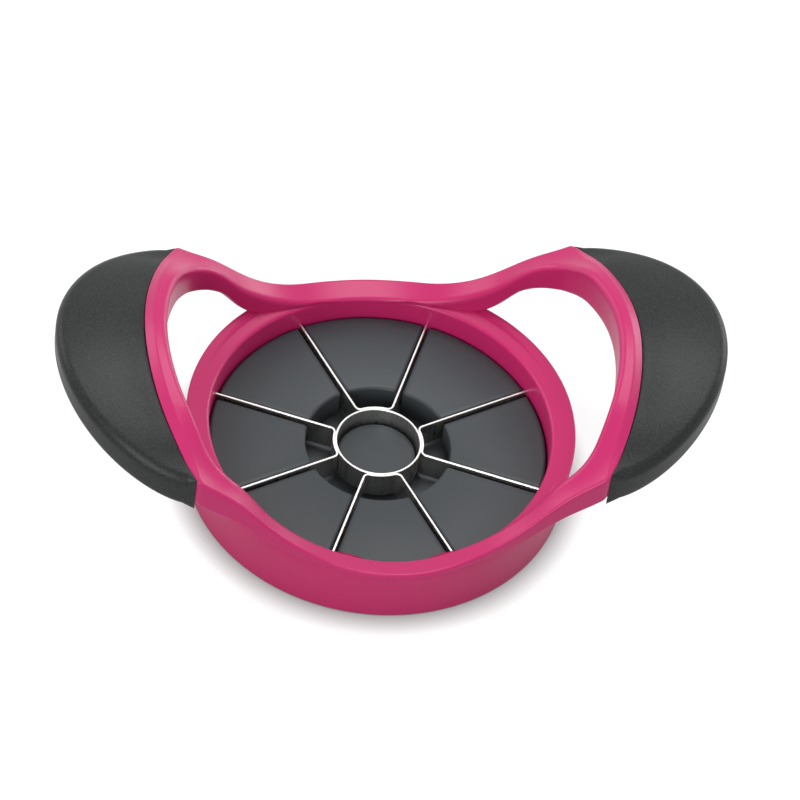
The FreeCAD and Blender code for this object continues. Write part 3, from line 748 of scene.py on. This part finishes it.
# Ground metal: fine noise drawn out upright, so the streaks run up the strip.
def groundSteel(name):
    look = finishes[name]
    material, tree = newMaterial(name)
    where = addNode(tree, "ShaderNodeTexCoord").outputs["Object"]
    drawn = addNode(tree, "ShaderNodeMapping", {
        "Vector": where, "Scale": (1, 1, steelLook["stretch"])})
    streaks = addNode(tree, "ShaderNodeTexNoise", {
        "Vector": drawn.outputs["Vector"], "Scale": perMetre(look["lines"]), "Detail": 3.0})
    shine = addNode(tree, "ShaderNodeMapRange", {
        "Value": streaks.outputs["Fac"], "From Min": 0.3, "From Max": 0.7,
        "To Min": look["roughness"] - steelLook["smoother"],
        "To Max": look["roughness"] + steelLook["rougher"]})
    bump = addNode(tree, "ShaderNodeBump", {
        "Height": streaks.outputs["Fac"], "Strength": steelLook["relief"],
        "Distance": steelLook["depth"] * mm})
    shader = addNode(tree, "ShaderNodeBsdfPrincipled", {
        "Base Color": linear(look["colour"]), "Metallic": 1.0,
        "Roughness": shine.outputs["Result"], "Normal": bump.outputs["Normal"]})
    addNode(tree, "ShaderNodeOutputMaterial", {"Surface": shader.outputs["BSDF"]})
    return material


def dress(piece, material, body, slot, *nodes):
    piece.data.materials.append(material)
    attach(piece, body)
    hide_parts(*nodes)


magentaGloss = mouldedPlastic("glossMagentaPolypropylene")
magentaSatin = mouldedPlastic("satinMagentaPolypropylene")
charcoalGrip = softTouch("charcoalSoftTouchElastomer")
greyPlastic = mouldedPlastic("greyMouldedPolypropylene")
footRubber = softTouch("darkFootRubber")
bladeSteel = groundSteel("groundStainlessSteel")
screwSteel = groundSteel("platedScrewSteel")
print("materials made")

dress(makeBand(), magentaGloss, "slicer", "frame_pink", "handle_frame")
dress(makeRim(), magentaGloss, "slicer", "frame_pink", "handle_frame")
print("frame made")
dress(makeGrip("rightGrip", 1), charcoalGrip, "slicer", "grip_soft", "right_grip")
dress(makeGrip("leftGrip", -1), charcoalGrip, "slicer", "grip_soft", "left_grip")
print("grips made")
dress(makeSkirt(), magentaSatin, "slicer", "skirt_pink", "skirt_ring")
for index, side in enumerate(("right", "back", "left", "front")):
    dress(makeStrip(side + "Strip", 90 * index), bladeSteel, "slicer", "blade_steel",
          "blade_strip_" + side)
dress(makeCoreTube(), bladeSteel, "slicer", "blade_steel", "core_tube")
dress(makeBase(), greyPlastic, "base", "base_grey", "base_plate")
print("skirt, blades and base made")

# The nodes whose own shape is right keep it and get the finishes above.
for node, material in (("clamp_ring", greyPlastic), ("frame_screws", screwSteel),
                       ("base_foot_ring", footRubber)):
    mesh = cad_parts[node].data
    mesh.materials.clear()
    mesh.materials.append(material)


# The camera stands off the origin by a distance in millimetres; the origin's place in the
# frame and the scale there are in pixels.
view = {
    "elevation": 48.574, "azimuth": 12.103, "roll": 8.642, "distance": 1541.9,
    "pixelsPerMm": 3.62408, "centreU": 374.574, "centreV": 467.015, "frameSize": 800.0,
    "sensorWidth": 36, "clipStart": 0.05, "clipEnd": 50,
}


def makeCamera():
    tilt, turn, roll = (math.radians(view[key]) for key in ("elevation", "azimuth", "roll"))
    cosTurn, sinTurn = math.cos(turn), math.sin(turn)
    cosTilt, sinTilt = math.cos(tilt), math.sin(tilt)
    level = Vector((cosTurn, -sinTurn, 0))
    rise = Vector((sinTurn * sinTilt, cosTurn * sinTilt, cosTilt))
    back = Vector((-sinTurn * cosTilt, -cosTurn * cosTilt, sinTilt))
    right = level * math.cos(roll) + rise * math.sin(roll)
    up = rise * math.cos(roll) - level * math.sin(roll)
    aside = (view["centreU"] - view["frameSize"] / 2) / view["pixelsPerMm"]
    above = -(view["centreV"] - view["frameSize"] / 2) / view["pixelsPerMm"]
    place = (back * view["distance"] - right * aside - up * above) * mm
    camera = bpy.data.cameras.new("camera")
    camera.sensor_width = view["sensorWidth"]
    camera.lens = view["pixelsPerMm"] * view["distance"] / view["frameSize"] * camera.sensor_width
    camera.clip_start = view["clipStart"]
    camera.clip_end = view["clipEnd"]
    item = bpy.data.objects.new("camera", camera)
    bpy.context.scene.collection.objects.link(item)
    item.matrix_world = Matrix.Translation(place) @ Matrix((right, up, back)).transposed().to_4x4()
    bpy.context.scene.camera = item


# Soft lamps, in metres and watts.
lamps = {
    "topSoftbox": {"place": (0.17, 0.36, 1.13), "target": (0, 0, 0),
                   "width": 0.55, "height": 0.55, "power": 6.3},
    "frontFill": {"place": (-0.45, -0.95, 0.55), "target": (0, 0, 0.02),
                  "width": 0.6, "height": 0.5, "power": 7.0},
    "leftStrip": {"place": (-1.15, 0.8, 0.8), "target": (0, 0, 0.04),
                  "width": 0.9, "height": 0.7, "power": 6.5},
    "rightStrip": {"place": (1.3, 0.8, 0.4), "target": (0, 0, 0.04),
                   "width": 0.9, "height": 0.7, "power": 9.0},
}


def areaLight(name, place, target, width, height, power):
    lamp = bpy.data.lights.new(name, "AREA")
    lamp.shape = "RECTANGLE"
    lamp.size = width
    lamp.size_y = height
    lamp.energy = power
    item = bpy.data.objects.new(name, lamp)
    item.location = place
    item.rotation_euler = (Vector(target) - Vector(place)).to_track_quat("-Z", "Y").to_euler()
    bpy.context.scene.collection.objects.link(item)


# A pale table that glows white to the camera, with a painted contact shadow: the glow is dimmed
# where the part touches it. Its size and drop are in metres, the reach of the painted shadow in
# millimetres.
stageSizes = {
    "floorHalf": 6, "floorDrop": 0.0002, "diffuse": 0.25, "glow": 0.85,
    "contactReach": 8, "contactPower": 1.7, "worldLight": 0.45, "worldSeen": 1.0,
}


# One for the rays that show the background: straight, mirrored or through glass.
def backgroundRays(tree):
    path = addNode(tree, "ShaderNodeLightPath")
    seen = addNode(tree, "ShaderNodeMath", {
        0: path.outputs["Is Camera Ray"], 1: path.outputs["Is Glossy Ray"]}, operation="MAXIMUM")
    return addNode(tree, "ShaderNodeMath", {
        0: seen.outputs[0], 1: path.outputs["Is Transmission Ray"]}, operation="MAXIMUM")


# Matte white paint that also glows to the camera and to reflections; near the part the glow is
# dimmed, a painted contact shadow.
def whiteTable():
    material, tree = newMaterial("whiteTable")
    seen = backgroundRays(tree)
    # Painted shadow: ambient occlusion darkens the glow where the part stands close to the table.
    corner = addNode(tree, "ShaderNodeAmbientOcclusion", {
        "Distance": stageSizes["contactReach"] * mm})
    paintedShadowMask = addNode(tree, "ShaderNodeMath", {
        0: corner.outputs["AO"], 1: stageSizes["contactPower"]}, operation="POWER")
    share = addNode(tree, "ShaderNodeMath", {0: seen.outputs[0], 1: paintedShadowMask.outputs[0]},
                    operation="MULTIPLY")
    strength = addNode(tree, "ShaderNodeMath", {0: share.outputs[0], 1: stageSizes["glow"]},
                       operation="MULTIPLY")
    matte = addNode(tree, "ShaderNodeBsdfDiffuse", {"Color": [stageSizes["diffuse"]] * 3 + [1]})
    glow = addNode(tree, "ShaderNodeEmission", {
        "Color": (1, 1, 1, 1), "Strength": strength.outputs[0]})
    both = addNode(tree, "ShaderNodeAddShader", {0: matte.outputs[0], 1: glow.outputs[0]})
    addNode(tree, "ShaderNodeOutputMaterial", {"Surface": both.outputs[0]})
    return material


def makeStage():
    bm = bmesh.new()
    bmesh.ops.create_grid(bm, x_segments=1, y_segments=1, size=stageSizes["floorHalf"])
    mesh = bpy.data.meshes.new("floor")
    bm.to_mesh(mesh)
    bm.free()
    floor = bpy.data.objects.new("floor", mesh)
    floor.location.z = -stageSizes["floorDrop"]
    bpy.context.scene.collection.objects.link(floor)
    mesh.materials.append(whiteTable())
    world = bpy.data.worlds.new("studio")
    bpy.context.scene.world = world
    world.use_nodes = True
    tree = world.node_tree
    tree.nodes.clear()
    seen = backgroundRays(tree)
    strength = addNode(tree, "ShaderNodeMapRange", {
        "Value": seen.outputs[0], "To Min": stageSizes["worldLight"],
        "To Max": stageSizes["worldSeen"]})
    glow = addNode(tree, "ShaderNodeBackground", {
        "Color": (1, 1, 1, 1), "Strength": strength.outputs["Result"]})
    addNode(tree, "ShaderNodeOutputWorld", {"Surface": glow.outputs[0]})


makeCamera()
makeStage()
for name, lamp in lamps.items():
    areaLight(name, **lamp)
bpy.context.scene.view_settings.view_transform = "Standard"
print("stage, lights and camera made")
